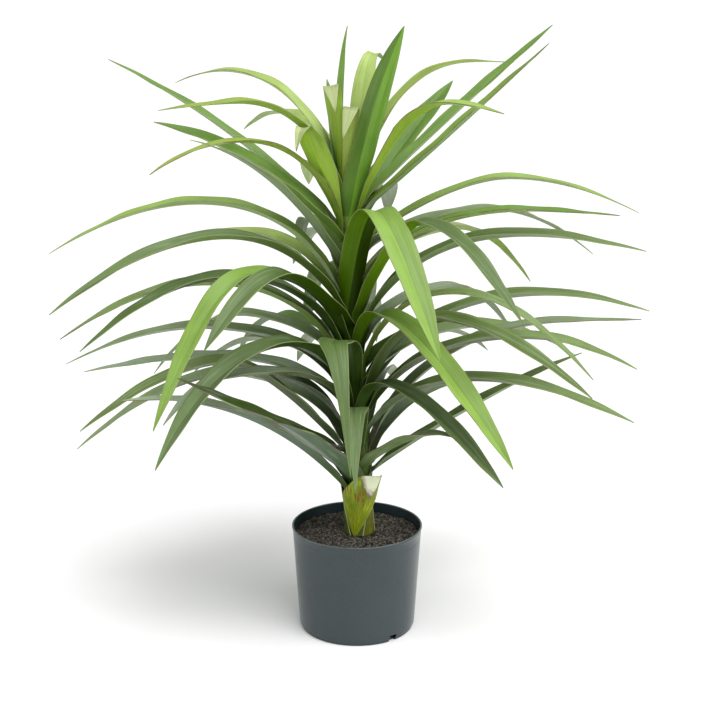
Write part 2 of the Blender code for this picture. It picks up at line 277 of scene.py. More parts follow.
leafSurface = {
    # leaf base colours: a saturated green, which in grown and inner leaves is darkened as painted shade of
    # the crown's core
    "foot": {"young": (0.12, 0.21, 0.012), "grown": (0.036, 0.08, 0.003), "inner": (0.032, 0.072, 0.002)},
    "streaks": (60.0, 5.0),  # across the leaf and along it
    "streakDepth": 0.3,
    "warmth": (1.25, 1.04, 0.8),
    # painted highlight: satin sheen streaks lightened towards a silvery colour, with streaks of painted
    # shadow between them
    "paintedSheenStreaks": (11.0, 1.8),
    "paintedSheen": {"young": 0.14, "grown": 0.45, "inner": 0.04},  # how strongly the painted sheen shows: light streaks of painted satin highlight
    "paintedSheenColour": (0.50, 0.58, 0.52),
    "paintedSheenShares": (0.55, 0.55, 0.5),
    "shadow": 0.45,
    "driftScale": 4.0,
    "drift": 9.0,
    "patchScale": 28.0,
    "patchShades": (0.9, 1.08),
    "veins": 26.0,
    "veinShare": 0.25,
    "veinRelief": 0.3,
    "ribWidth": 0.03,
    "ribShares": {"top": 0.75, "under": 1.15},
    "roughness": (0.3, 0.46),
    "gloss": {"young": 0.3, "grown": 0.3, "inner": 0.1},
}


def leafAge(colourName):
    if colourName in youngColours:
        return "young"
    return "inner" if colourName in innerColours else "grown"


def leafMaterial(name, colourName, ribShare, halves, dusk):
    look = leafSurface
    colour = leafColours[colourName]
    age = leafAge(colourName)
    material, tree, shader = newMaterial(name)
    across, along = surfacePlace(tree)
    drift = times(tree, noiseOf(tree, objectPlace(tree), look["driftScale"], 1.0), look["drift"])
    streak = streaksOf(tree, across, along, look["streaks"], 4.0, 0.6, drift)
    paintedSheen = streaksOf(tree, across, along, look["paintedSheenStreaks"], 3.0, 0.6, drift)
    patch = noiseOf(tree, objectPlace(tree), look["patchScale"])
    darker, lighter = (shaded(colour, share) for share in look["patchShades"])
    main = blended(tree, ranged(tree, patch, 0.35, 0.65), darker, lighter)
    warm = tuple(channel * share for channel, share in zip(colour, look["warmth"]))
    main = blended(tree, ranged(tree, streak, 0.4, 0.75, 0.0, 0.55), main, warm)
    # painted highlight in the light sheen streaks, then painted shadow in the streaks between them
    paintedSheenColour = tuple(mix(*three) for three in zip(colour, look["paintedSheenColour"], look["paintedSheenShares"]))
    main = blended(tree, ranged(tree, paintedSheen, 0.52, 0.72, 0.0, look["paintedSheen"][age]), main, paintedSheenColour)
    shadow = shaded(colour, look["shadow"])
    main = blended(tree, ranged(tree, paintedSheen, 0.28, 0.46, 0.3, 0.0), main, shadow)
    # dark foot: saturated base colour with painted shade towards the stem
    main = blended(tree, ranged(tree, along, *dusk, 1.0, 0.0), main, look["foot"][age])
    dark = ranged(tree, streak, 0.25, 0.6, 1.0 - look["streakDepth"], 1.0)
    fromRib = maths(tree, "ABSOLUTE", maths(tree, "SUBTRACT", across, 0.5))
    rib = ranged(tree, fromRib, 0.0, look["ribWidth"], ribShare, 1.0)
    # painted light and shade: one half of the fold made lighter, the other darker
    half = ranged(tree, across, 0.485, 0.515, *halves)
    tone = times(tree, times(tree, dark, rib), half)
    colourOut = blended(tree, 1.0, main, combined(tree, tone, tone, tone), "MULTIPLY")
    roughness = ranged(tree, patch, 0.3, 0.7, *look["roughness"])
    dressShader(tree, shader, colourOut, roughness, look["gloss"][age])
    wave = maths(tree, "SINE", times(tree, across, look["veins"] * math.tau))
    relief = maths(tree, "ADD", times(tree, wave, look["veinShare"]), streak)
    bumped(tree, shader, relief, look["veinRelief"], 0.6)
    return material


marginLook = {
    "green": (0.21, 0.27, 0.08),
    "brown": (0.13, 0.07, 0.035),
    "blotches": 7.0,
    "blotchBlur": 0.08,
    "roughness": 0.5,
}
marginLevels = {"green": 0.66, "mixed": 0.52, "brown": 0.4}  # lower for more brown


def marginMaterial(name, level):
    look = marginLook
    material, tree, shader = newMaterial("margin_" + name)
    across, along = surfacePlace(tree)
    place = combined(tree, maths(tree, "ROUND", across), times(tree, along, look["blotches"]))
    brown = ranged(tree, noiseOf(tree, place, 1.0, 2.0), level, level + look["blotchBlur"])
    dressShader(tree, shader, blended(tree, brown, look["green"], look["brown"]), look["roughness"])
    return material


leafMaterials = {}


def leafFinish(colourName, ribShare, halves, dusk):
    key = "_".join(["leaf", colourName, *(str(round(share * 100)) for share in (ribShare, *halves, *dusk))])
    if key not in leafMaterials:
        leafMaterials[key] = leafMaterial(key, colourName, ribShare, halves, dusk)
    return leafMaterials[key]


# Stem: a straight tapering stem that leans a little to the left
stemShape = {
    "bottom": 128.8,
    "top": 498.0,
    "footX": 3.5,
    "lean": -15.0 / 440.0,
    "footRadius": 19.2,
    "lowRadius": 17.6,
    "topRadius": 11.0,
    "flareHeight": 60.0,
    "inset": 0.3,
    "scarSpacing": 9.0,
    "scarDepth": 0.9,
    "scarWander": 0.35,
    "unevenness": 0.35,
    "segments": 48,
    "rings": 130,
    "sharpAngle": 60.0,
}
stemBark = {
    "greens": ((0.05, 0.09, 0.010), (0.10, 0.14, 0.015)),
    "brown": (0.10, 0.06, 0.015),
    "patchScale": 60.0,
    "streakScale": 160.0,
    "stretch": 0.12,
    "roughness": (0.5, 0.75),
    "relief": 0.5,
}


def stemCentre(height):
    shape = stemShape
    return Vector((shape["footX"] + shape["lean"] * (height - shape["bottom"]), 0.0, height))


def stemRadius(height):
    shape = stemShape
    above = height - shape["bottom"]
    share = above / (shape["top"] - shape["bottom"])
    flareShare = max(0.0, 1.0 - above / shape["flareHeight"])
    flare = (shape["footRadius"] - shape["lowRadius"]) * flareShare ** 2
    return mix(shape["lowRadius"], shape["topRadius"], share) + flare


def stemMaterial():
    look = stemBark
    material, tree, shader = newMaterial("stemBark")
    place = objectPlace(tree)
    patch = noiseOf(tree, place, look["patchScale"], 4.0)
    stretch = tree.nodes.new("ShaderNodeMapping")
    stretch.inputs["Scale"].default_value = (1.0, 1.0, look["stretch"])
    tree.links.new(place, stretch.inputs["Vector"])
    streak = noiseOf(tree, stretch.outputs[0], look["streakScale"], 4.0, 0.6)
    green = blended(tree, ranged(tree, patch, 0.4, 0.6), *look["greens"])
    colour = blended(tree, ranged(tree, streak, 0.45, 0.65, 0.0, 0.6), green, look["brown"])
    dressShader(tree, shader, colour, ranged(tree, streak, 0.3, 0.7, *look["roughness"]))
    bumped(tree, shader, streak, look["relief"], 0.7)
    return material


def makeStem():
    shape = stemShape
    bm = bmesh.new()
    bmesh.ops.create_cone(bm, cap_ends=True, segments=shape["segments"], radius1=1.0, radius2=1.0, depth=1.0)
    sides = [edge for edge in bm.edges if abs(edge.verts[0].co.z - edge.verts[1].co.z) > 0.5]
    bmesh.ops.subdivide_edges(bm, edges=sides, cuts=shape["rings"])
    for vert in bm.verts:
        height = mix(shape["bottom"], shape["top"], vert.co.z + 0.5)
        bearing = math.atan2(vert.co.y, vert.co.x)
        turn = shape["scarWander"] * math.sin(bearing * 2.0 + height * 0.05)
        scar = (height / shape["scarSpacing"] + turn) % 1.0
        relief = -shape["scarDepth"] * (1.0 - scar) ** 3 - shape["inset"]
        spot = Vector((vert.co.x * 3.0, vert.co.y * 3.0, height * 0.12))
        relief += shape["unevenness"] * noise.noise(spot)
        across = Vector((vert.co.x, vert.co.y, 0.0)) * (stemRadius(height) + relief)
        vert.co = (stemCentre(height) + across) * mm
    mesh = asMesh(bm, "stem_bark")
    mesh.shade_smooth()
    mesh.set_sharp_from_angle(angle=math.radians(shape["sharpAngle"]))
    stem = addObject("stem_bark", mesh, [stemMaterial()])
    finishPiece(stem, "stem", "stem")


makeStem()
print("stem made")

# Leaves
leafHabit = {
    "bow": 0.3,  # how far out its rise is held up, as a share of the way to the crest
    "fall": 0.45,  # the same for its fall from the crest to the tip
    "swing": 0.0,  # degrees between the bearings of its crest and its tip
    "tapers": 0.5,  # the share of its length from which it narrows
    "power": 2.6,
    "footWidth": 20.0,
    "widestFrom": 0.26,
    "footFold": 40.0,
    "midFold": 38.0,
    "tipFold": 16.0,
    "facing": None,  # the bearing that its underside faces, if not its own
    "springs": None,  # the same for the side of the stem that it grows from
    "showTop": 6.0,  # degrees that its upper side is turned to the front
    "wave": 0.7,
    "halves": (1.0, 1.0),  # how bright each half is: painted light and shade on the two sides of the fold
    "underHalves": None,  # the same for the underside
    "dusk": (0.04, 0.34),  # the shares of its length between which its dark foot gives way: a saturated green with painted shade of the crown's core
    "edge": "green",
    "seat": None,  # how far from the stem's middle it springs, if not at its surface
}
leafMesh = {
    "columns": (0.0, 0.02, 0.12, 0.25, 0.37, 0.46, 0.5, 0.54, 0.63, 0.75, 0.88, 0.98, 1.0),
    "marginShare": 0.02,
    "rowLength": 7.0,
    "fewestRows": 24,
    "arcSteps": 36,
    "thickness": 0.8,
    "tipWidth": 1.0,
    "footWideFrom": 0.08,
    "wrapStarts": 2.0,
    "wrapEnds": 26.0,
    "smallestWrap": 9.0,
    "mostWrap": 100.0,  # degrees to each side
    "footRun": 26.0,  # how far a leaf's base runs down the stem below the place where it springs
    "lowestFoot": 30.0,  # how far above the soil that base has to end
    "footPoint": 9.0,  # its width at the very bottom
    "footTuck": 0.4,
    "offStem": 0.6,
    "tuftSeat": 3.0,
    "sway": 2.5,
    "swayTurn": 5.0,
    "waveLengths": (60.0, 110.0),
    "waveStarts": 5.0,
    "waveEnds": 6.0,
    "turnsBy": 3.0,  # its upper side is turned by a third of its length
    "tangentStep": 2.0,
    "foldSoftness": 0.002,  # rounds the bottom of the fold
    "foldDrop": 0.045,
    "edgeDroop": 0.07,
    "bakeGap": 0.03,
}
leafSlots = (("leaf_young", 430.0), ("leaf_grown", 320.0), ("leaf_old", 0.0))  # by the height of the foot


# Foot height and bearing, then reach and height of the crest and of the tip, then width and colours
def leaf(foot, bearing, crest, tip, width, top, under=None, **more):
    spec = dict(leafHabit, foot=foot, bearing=bearing, crest=crest, tip=tip, width=width)
    spec.update(top=top, under=under or top, **more)
    return spec


foldedTip = {"tapers": 0.8, "power": 1.0, "midFold": 20.0, "tipFold": 8.0}
tuftLeaves = [
    leaf(562, 152, (36, 690), (30, 773), 11, "fresh", midFold=45.0, swing=-39.5),
    leaf(546, 140, (35, 650), (48, 709), 26, "jade"),
    leaf(552, 215, (38, 706), (50, 676), 26, "cream", "spring", bow=0.9, fall=0.2, facing=250.0,
         swing=24.0, **foldedTip),
    leaf(550, 258, (24, 680), (45, 644), 21, "cream", "young", bow=0.9, fall=0.2, swing=-10.0,
         **foldedTip),
    leaf(548, 60, (42, 740), (66, 731), 31, "paleLime", bow=0.5, facing=85.0, midFold=12.0),
    leaf(537, 268, (36, 640), (71, 775), 33, "fresh", "grass", swing=53.0, footWidth=38.0, facing=261.0,
         midFold=30.0, halves=(1.6, 0.95), dusk=(0.0, 0.08), seat=6.0),
    leaf(558, 40, (190, 725), (270, 722), 19, "young", "spring", halves=(0.85, 1.15)),
    leaf(546, 320, (143, 689), (215, 682), 30, "bright", "spring", bow=0.5, footWidth=7.0, widestFrom=0.6,
         halves=(1.35, 0.95), edge="brown", seat=12.0),
    leaf(546, 52, (120, 640), (205, 699), 36, "fresh", facing=72.0),
    leaf(546, 25, (150, 678), (275, 772), 26, "fresh"),
    leaf(537, 2, (125, 650), (231, 753), 26, "lime", "fresh", edge="brown"),
    leaf(565, 155, (185, 716), (257, 700), 24, "paleLime", "spring", edge="mixed"),
    leaf(552, 205, (158, 688), (250, 683), 26, "young", "spring", footWidth=14.0),
    leaf(558, 125, (170, 658), (270, 630), 28, "paleLime", "spring"),
    leaf(540, 215, (77, 659), (88, 630), 34, "cream", "spring", bow=0.88, fall=0.6, facing=258.0,
         seat=14.0, footWidth=10.0, widestFrom=0.55, halves=(1.0, 1.35), 
         **dict(foldedTip, tapers=0.72, power=0.7)),
    leaf(545, 113, (150, 592), (262, 550), 36, "jade", "paleLime", swing=-8.0),
    leaf(521, 170, (160, 660), (313, 732), 24, "fresh"),
    leaf(516, 215, (173, 646), (282, 617), 19, "young", fall=0.55, springs=180.0, footWidth=12.0,
         edge="brown"),
    leaf(506, 200, (125, 633), (250, 668), 42, "fresh", showTop=20.0),
    leaf(502, 5, (190, 589), (356, 544), 22, "bright", bow=0.62),
    leaf(505, 74, (150, 558), (270, 505), 34, "moss", "ash", swing=7.0),
]
leftLeaves = [
    leaf(477, 222, (125, 624), (248, 656), 24, "moss", "ash"),
    leaf(444, 178, (195, 558), (387, 495), 30, "bright"),
    leaf(432, 142, (178, 503), (308, 482), 32, "paleLime", "ash"),
    leaf(428, 205, (185, 530), (388, 457), 34, "leek", "bright", bow=0.42, halves=(0.65, 1.15), 
         dusk=(0.04, 0.5)),
    leaf(370, 203, (178, 479), (352, 407), 32, "mid", "deep"),
    leaf(355, 189, (190, 464), (368, 402), 32, "moss", "lime", edge="brown"),
    leaf(347, 151, (163, 400), (322, 300), 28, "ash"),
    leaf(334, 172, (190, 395), (385, 341), 30, "ash", "grey"),
    leaf(300, 178, (175, 361), (350, 342), 30, "grey", "ash"),
    leaf(272, 188, (152, 349), (355, 258), 32, "ash", "deep"),
    leaf(290, 217, (205, 369), (282, 327), 28, "grey", "bronze", bow=0.12),
    leaf(241, 204, (182, 376), (358, 312), 34, "olive", "bronze", bow=0.7),
    leaf(240, 235, (180, 319), (335, 413), 34, "deep", showTop=45.0, edge="brown"),
    leaf(190, 208, (145, 343), (312, 350), 34, "grey", "blue", bow=0.45, edge="brown"),
]
frontLeaves = [
    leaf(432, 290, (72, 562), (223, 411), 40, "lime", "shade", bow=0.44, fall=0.25, springs=252.0,
         swing=5.0, footWidth=30.0, halves=(0.9, 1.12), underHalves=(0.7, 1.9), midFold=15.0,
         edge="mixed"),
    leaf(385, 223, (176, 491), (315, 334), 38, "lime", "deep", bow=0.35, fall=0.4),
    leaf(408, 233, (152, 492), (281, 430), 34, "leek", "shade", bow=0.72, showTop=15.0, footWidth=26.0,
         dusk=(0.44, 0.6)),
    leaf(422, 318, (104, 545), (272, 455), 32, "leek", "inner", bow=0.7, swing=-5.0,
         underHalves=(1.4, 1.4)),
    leaf(380, 303, (65, 430), (300, 299), 37, "lime", "inner", fall=0.36, swing=2.5, midFold=22.0,
         halves=(0.85, 1.1), underHalves=(0.7, 1.4), edge="mixed"),
    leaf(330, 256, (120, 412), (208, 277), 42, "mid", "deep", bow=0.25, fall=0.3, swing=12.0, tapers=0.48,
         power=0.55, midFold=4.0, tipFold=12.0),
    leaf(305, 225, (139, 402), (322, 292), 38, "leek", "deep", fall=0.55, halves=(0.85, 1.15), 
         dusk=(0.3, 0.48)),
    leaf(297, 306, (72, 341), (287, 274), 31, "leek", "deep", fall=0.4, swing=-1.0, halves=(0.85, 1.15),
         dusk=(0.15, 0.4)),
    leaf(261, 268, (130, 330), (206, 257), 36, "leek", "deep", fall=0.3, swing=1.5, tapers=0.56,
         power=0.85, midFold=6.0),
    leaf(205, 246, (105, 280), (222, 341), 44, "blue", showTop=0.0, midFold=16.0, footWidth=30.0,
         edge="brown"),
    leaf(222, 302, (140, 312), (215, 316), 30, "moss", "leek", dusk=(0.03, 0.25), edge="brown"),
]
rightLeaves = [
    leaf(490, 30, (188, 537), (376, 462), 25, "ash", "moss", dusk=(0.02, 0.2)),
    leaf(460, 347, (232, 559), (320, 557), 25, "fresh", "bright", edge="brown"),
    leaf(405, 350, (220, 526), (353, 512), 36, "moss"),
    leaf(358, 338, (138, 457), (304, 366), 22, "moss", "paleLime"),
    leaf(335, 352, (248, 452), (361, 436), 34, "moss", "ash", bow=0.35),
    leaf(307, 327, (125, 428), (323, 361), 34, "olive", "bronze", bow=0.45),
    leaf(350, 40, (170, 385), (290, 345), 26, "shade", "ash"),
    leaf(290, 345, (230, 403), (350, 373), 34, "moss", "bronze"),
    leaf(325, 24, (165, 388), (326, 333), 34, "moss", "ash"),
    leaf(246, 12, (270, 397), (383, 395), 28, "ash", "leek", dusk=(0.02, 0.14), edge="brown"),
    leaf(266, 340, (182, 349), (353, 315), 34, "moss", "bronze"),
    leaf(211, 354, (160, 322), (282, 378), 28, "moss", "leek"),
]
backLeaves = [
    leaf(470, 121, (122, 524), (150, 476), 32, "fresh", "grey", bow=0.5, fall=0.7),
    leaf(451, 37, (157, 512), (300, 425), 30, "cream", "spring"),
    leaf(445, 108, (140, 500), (300, 430), 32, "mid", "moss"),
    leaf(405, 105, (160, 450), (300, 325), 30, "mid", "leek"),
    leaf(395, 86, (150, 445), (320, 355), 32, "mid", "ash"),
    leaf(380, 47, (162, 428), (326, 342), 28, "grey", "ash"),
    leaf(386, 128, (150, 388), (275, 316), 28, "fresh", "ash"),
    leaf(345, 85, (170, 395), (340, 300), 32, "olive", "ash"),
    leaf(312, 138, (150, 360), (315, 285), 32, "olive", "ash"),
    leaf(300, 56, (170, 360), (345, 300), 30, "olive", "leek"),
    leaf(285, 105, (170, 345), (350, 270), 32, "olive", "leek"),
    leaf(250, 150, (170, 315), (350, 260), 32, "grey", "leek"),
    leaf(228, 38, (180, 300), (350, 265), 32, "grey", "leek"),
    leaf(225, 80, (180, 295), (340, 240), 32, "deep", "leek"),
]
sideLeaves = {"left": leftLeaves, "front": frontLeaves, "right": rightLeaves, "back": backLeaves}
splitLeaves = {("front", 1), ("front", 6)}  # each is two nodes, split just past its bend


def arcPoint(start, hold, end, share):
    return start * (1.0 - share) ** 2 + hold * 2.0 * share * (1.0 - share) + end * share ** 2


# The middle line rises from the foot to the crest and falls on to the tip, in two arcs
def leafLine(spec, footOut):
    look = leafMesh
    steps = look["arcSteps"]
    springs = outward(spec["bearing"] if spec["springs"] is None else spec["springs"])
    foot = stemCentre(spec["foot"]) + springs * footOut
    low = max(spec["foot"] - look["footRun"], stemShape["bottom"] + look["lowestFoot"])
    start = [stemCentre(low) + springs * (footOut - look["footTuck"])]
    crest = outward(spec["bearing"]) * spec["crest"][0] + Vector((0.0, 0.0, spec["crest"][1]))
    tip = outward(spec["bearing"] + spec["swing"]) * spec["tip"][0] + Vector((0.0, 0.0, spec["tip"][1]))
    if crest.z < tip.z:
        return start + [arcPoint(foot, crest, tip, share) for share in evenly(2 * steps)]
    rise = foot.lerp(crest, spec["bow"])
    rise.z = crest.z
    over = crest.lerp(tip, spec["fall"])
    over.z = crest.z
    points = start + [arcPoint(foot, rise, crest, share) for share in evenly(steps)[:-1]]
    return points + [arcPoint(crest, over, tip, share) for share in evenly(steps)]


def bladeWidth(spec, share):
    look = leafMesh
    if share < spec["tapers"]:
        foot = mix(look["footPoint"], spec["footWidth"], ease(share / look["footWideFrom"]))
        return mix(foot, spec["width"], ease(share / spec["widestFrom"]))
    past = (share - spec["tapers"]) / (1.0 - spec["tapers"])
    return mix(spec["width"], look["tipWidth"], past ** spec["power"])


def rolled(side, up, degrees):
    angle = math.radians(degrees)
    return side * math.cos(angle) + up * math.sin(angle), up * math.cos(angle) - side * math.sin(angle)


def threeWay(values, share):
    if share < 0.5:
        return mix(values[0], values[1], ease(share * 2.0))
    return mix(values[1], values[2], ease(share * 2.0 - 1.0))


def makeLeaf(name, spec, seed, *nodes):
    look = leafMesh
    chance = random.Random(seed)
    footOut = spec["seat"] or stemRadius(spec["foot"]) + look["offStem"]
    points = leafLine(spec, footOut)
    lengths = [0.0]
    for a, b in zip(points, points[1:]):
        lengths.append(lengths[-1] + (b - a).length)
    total = lengths[-1]
    places = np.array(points)
    side = sideways(spec["bearing"] if spec["facing"] is None else spec["facing"])
    lean = math.cos(math.radians(spec["bearing"]))
    phases = [chance.uniform(0.0, math.tau) for _ in range(3)]
    waveLengths = [chance.uniform(*look["waveLengths"]) for _ in range(2)]
    sway = chance.uniform(-look["sway"], look["sway"])

    def lineAt(distance):
        return Vector([np.interp(distance, lengths, places[:, axis]) for axis in range(3)])

    # The blade's frame at one share of its length, and how it wraps the stem there
    def station(share):
        distance = share * total
        ahead = lineAt(min(distance + look["tangentStep"], total))
        behind = lineAt(max(distance - look["tangentStep"], 0.0))
        tangent = (ahead - behind).normalized()
        across = (side - tangent * side.dot(tangent)).normalized()
        up = tangent.cross(across)
        across, up = rolled(across, up, spec["showTop"] * lean * ease(share * look["turnsBy"]))
        centre = lineAt(distance)
        bend = math.sin(phases[2] + look["swayTurn"] * share)
        centre += across * sway * math.sin(math.pi * share) * bend
        fold = threeWay((spec["footFold"], spec["midFold"], spec["tipFold"]), share)
        axis = stemCentre(centre.z)
        radial = centre - axis
        radius = max(radial.length, look["smallestWrap"])
        fromBark = radial.length - stemRadius(min(centre.z, stemShape["top"]))
        wrap = 1.0 - between(look["wrapStarts"], look["wrapEnds"], fromBark)
        bearing = math.degrees(math.atan2(radial.y, radial.x))
        return centre, across, up, math.radians(fold), axis, radius, wrap, bearing, distance

    def place(u, share):
        centre, across, up, fold, axis, radius, wrap, bearing, distance = stations[share]
        a = 1.0 - 2.0 * u
        half = 0.5 * bladeWidth(spec, share)
        level = math.sqrt(a * a + look["foldSoftness"]) - look["foldDrop"]
        rise = half * (level * math.sin(fold) - look["edgeDroop"] * a ** 4)
        edge = 0 if a > 0.0 else 1
        swing = math.sin(distance / waveLengths[edge] * math.tau + phases[edge])
        wave = spec["wave"] * abs(a) ** 1.5 * swing
        rise += wave * ease(share * look["waveStarts"]) * ease((1.0 - share) * look["waveEnds"])
        straight = centre + across * (a * half * math.cos(fold)) + up * rise
        if wrap <= 0.0:
            return straight
        turn = min(max(math.degrees(a * half / radius), -look["mostWrap"]), look["mostWrap"])
        bent = axis + outward(bearing + turn) * radius
        return straight.lerp(bent, wrap)

    rows = evenly(max(look["fewestRows"], round(total / look["rowLength"])))
    stations = {share: station(share) for share in rows}
    margin = look["marginShare"]
    mesh = sheetMesh(name, look["columns"], rows, place, lambda u: 2 if min(u, 1.0 - u) < margin else 0)
    ribs = leafSurface["ribShares"]
    under = leafFinish(spec["under"], ribs["under"], spec["underHalves"] or spec["halves"], spec["dusk"])
    top = leafFinish(spec["top"], ribs["top"], spec["halves"], spec["dusk"])
    edge = leafEdges[spec["edge"]]
    blade = addObject(name, mesh, [top, under, edge, edge])
    thicken(blade, look["thickness"], -1.0, underSlot=1)
    layOutBake(blade.data, len(look["columns"]) * len(rows))
    slot = next(slot for slot, lowest in leafSlots if spec["foot"] > lowest)
    finishPiece(blade, slot, *nodes)


# The upper side, the underside and the two edges each take their own strip of the bake's map
def layOutBake(mesh, upperCount):
    gap = leafMesh["bakeGap"]
    places = np.zeros(len(mesh.loops) * 2, np.float32)
    mesh.uv_layers["leafMap"].uv.foreach_get("vector", places)
    u, v = places.reshape(-1, 2).T
    verts = np.zeros(len(mesh.loops), np.int32)
    mesh.loops.foreach_get("vertex_index", verts)
    isUpper = verts < upperCount
    strip = np.zeros(len(mesh.loops), np.int32)
    for face in mesh.polygons:
        loops = slice(face.loop_start, face.loop_start + face.loop_total)
        upper = isUpper[loops]
        strip[loops] = 0 if upper.all() else (1 if not upper.any() else 2)
    width = 0.5 - gap
    rim = np.where(u < 0.5, 0.5 - gap, 0.5) + np.where(isUpper, 0.0, gap)
    newU = np.choose(strip, [u * width, 0.5 + gap + u * width, rim])
    layer = mesh.uv_layers.new(name="OFBake", do_init=False)
    layer.uv.foreach_set("vector", np.stack([newU, v], 1).astype(np.float32).ravel())


leafEdges = {name: marginMaterial(name, level) for name, level in marginLevels.items()}
for side, specs in sideLeaves.items():
    for number, spec in enumerate(specs, 1):
        node = f"leaf_{side}_{number}"
        nodes = (node + "_rise", node + "_fall") if (side, number) in splitLeaves else (node,)
        makeLeaf(f"blade_{side}_{number}", spec, f"{side}{number}", *nodes)
for number, spec in enumerate(tuftLeaves, 1):
    seated = dict(spec, seat=spec["seat"] or leafMesh["tuftSeat"])
    makeLeaf(f"blade_tuft_{number}", seated, f"tuft{number}", "tip_tuft")
print("leaves made")

# Pot
potShape = {
    "height": 139.0,
    "rimRadius": 85.0,
    "baseRadius": 75.6,
    "lipHeight": 2.6,
    "lipStandsOut": 0.7,
    "lipTuck": (0.15, 0.3),  # out from the wall, and down from the lip
    "wall": 1.7,
    "floor": 3.0,
    "footHeight": 4.5,
    "footSetIn": 1.8,
    "creaseBelowRim": 13.5,
    "creaseDepth": 0.22,
    "creaseReach": 1.6,
    "creaseStep": 0.4,
    "creasePoints": 9,
    "plainBelow": 2.0,
    "wallSteps": 12,
    "notchWidth": 10.5,
    "notchHeight": 9.0,
    "notchBearing": -52.0,
    "notchDepth": 12.0,
    "edge": 0.7,
    "innerEdge": 0.9,
    "footEdge": 1.2,
    "sharpAngle": 40.0,
    "steps": 160,
}
potFinish = {
    "greys": ((0.016, 0.028, 0.032), (0.022, 0.035, 0.039)),
    # painted highlight: a light line along the top of the rim
    "rimHighlight": (0.12, 0.15, 0.155),
    "rimHighlightBand": (0.9, 0.2),  # how far below the rim it starts and is full
    "rimHighlightShare": 0.7,
    "dust": (0.06, 0.08, 0.085),
    "dustShare": 0.2,
    "cloudScale": 9.0,
    "grainScale": 900.0,
    "roughness": (0.2, 0.27),
    "relief": 0.04,
}


def potWall(height):
    top = potShape["rimRadius"] - potShape["lipStandsOut"]
    return mix(potShape["baseRadius"], top, height / potShape["height"])


def roundedCorner(centre, radius, start, end, steps=5):
    corner = []
    for share in evenly(steps):
        angle = math.radians(mix(start, end, share))
        corner.append((centre[0] + radius * math.cos(angle), centre[1] + radius * math.sin(angle)))
    return corner


# From the middle of the floor, over the rim and down to the middle of the underside
def potProfile():
    shape = potShape
    top, edge, innerEdge, heel = shape["height"], shape["edge"], shape["innerEdge"], shape["footEdge"]
    lip = top - shape["lipHeight"]
    crease = top - shape["creaseBelowRim"]
    inner = potWall(top) - shape["wall"]
    foot = shape["baseRadius"] - shape["footSetIn"]
    footHeight = shape["footHeight"]
    tuckOut, tuckDown = shape["lipTuck"]
    points = [(0.0, shape["floor"]), (potWall(shape["floor"]) - shape["wall"], shape["floor"])]
    points += reversed(roundedCorner((inner + innerEdge, top - innerEdge), innerEdge, 90.0, 180.0))
    points += roundedCorner((shape["rimRadius"] - edge, top - edge), edge, 90.0, 0.0)
    points += roundedCorner((shape["rimRadius"] - edge, lip + edge), edge, 0.0, -70.0)
    points.append((potWall(lip) + tuckOut, lip - tuckDown))
    for i in range(shape["creasePoints"]):
        height = crease + shape["creaseReach"] - shape["creaseStep"] * i
        share = math.cos(math.pi * 0.5 * (height - crease) / shape["creaseReach"]) ** 2
        points.append((potWall(height) - shape["creaseDepth"] * share, height))
    for share in evenly(shape["wallSteps"])[1:-1]:
        height = mix(crease - shape["plainBelow"], footHeight + heel, share)
        points.append((potWall(height), height))
    points += roundedCorner((potWall(footHeight) - heel, footHeight + heel), heel, 0.0, -80.0)
    points += [(foot, footHeight), (foot, edge), (foot - edge, 0.0), (0.0, 0.0)]
    return points


def potMaterial():
    look = potFinish
    material, tree, shader = newMaterial("potPlastic")
    place = objectPlace(tree)
    cloud = noiseOf(tree, place, look["cloudScale"])
    grain = noiseOf(tree, place, look["grainScale"], 2.0)
    colour = blended(tree, ranged(tree, cloud, 0.35, 0.65), *look["greys"])
    starts, full = ((potShape["height"] - below) * mm for below in look["rimHighlightBand"])
    # painted highlight along the rim's top edge
    rimHighlightMask = ranged(tree, separated(tree, place)[2], starts, full, 0.0, look["rimHighlightShare"])
    colour = blended(tree, rimHighlightMask, colour, look["rimHighlight"])
    dust = ranged(tree, grain, 0.45, 0.75, 0.0, look["dustShare"])
    colour = blended(tree, dust, colour, look["dust"])
    dressShader(tree, shader, colour, ranged(tree, cloud, 0.3, 0.7, *look["roughness"]))
    bumped(tree, shader, grain, look["relief"], 0.3)
    return material


def cutNotch(pot):
    shape = potShape
    bm = bmesh.new()
    bmesh.ops.create_cube(bm, size=1.0)
    size = (shape["notchDepth"] * mm, shape["notchWidth"] * mm, 2.0 * shape["notchHeight"] * mm)
    bmesh.ops.scale(bm, verts=bm.verts, vec=size)
    centre = outward(shape["notchBearing"]) * shape["baseRadius"] * mm
    turn = Matrix.Rotation(math.radians(shape["notchBearing"]), 4, "Z")
    bmesh.ops.transform(bm, verts=bm.verts, matrix=Matrix.Translation(centre) @ turn)
    cutter = addObject("notch", asMesh(bm, "notch"), [])
    cut = pot.modifiers.new("Notch", "BOOLEAN")
    cut.object = cutter
    cut.solver = "MANIFOLD"
    applyModifiers(pot)
    bpy.data.objects.remove(cutter)


def makePot():
    shape = potShape
    mesh = bpy.data.meshes.new("pot_shell")
    points = [(radius * mm, 0.0, height * mm) for radius, height in potProfile()]
    mesh.from_pydata(points, [(i, i + 1) for i in range(len(points) - 1)], [])
    pot = addObject("pot_shell", mesh, [potMaterial()])
    screw = pot.modifiers.new("Turn", "SCREW")
    screw.steps = shape["steps"]
    screw.render_steps = shape["steps"]
    screw.use_merge_vertices = True
    screw.merge_threshold = joinWithin
    screw.use_smooth_shade = True
    applyModifiers(pot)
    weld(pot.data, faceOut=True)
    cutNotch(pot)
    pot.data.set_sharp_from_angle(angle=math.radians(shape["sharpAngle"]))
    finishPiece(pot, "pot", "pot")


makePot()
print("pot made")

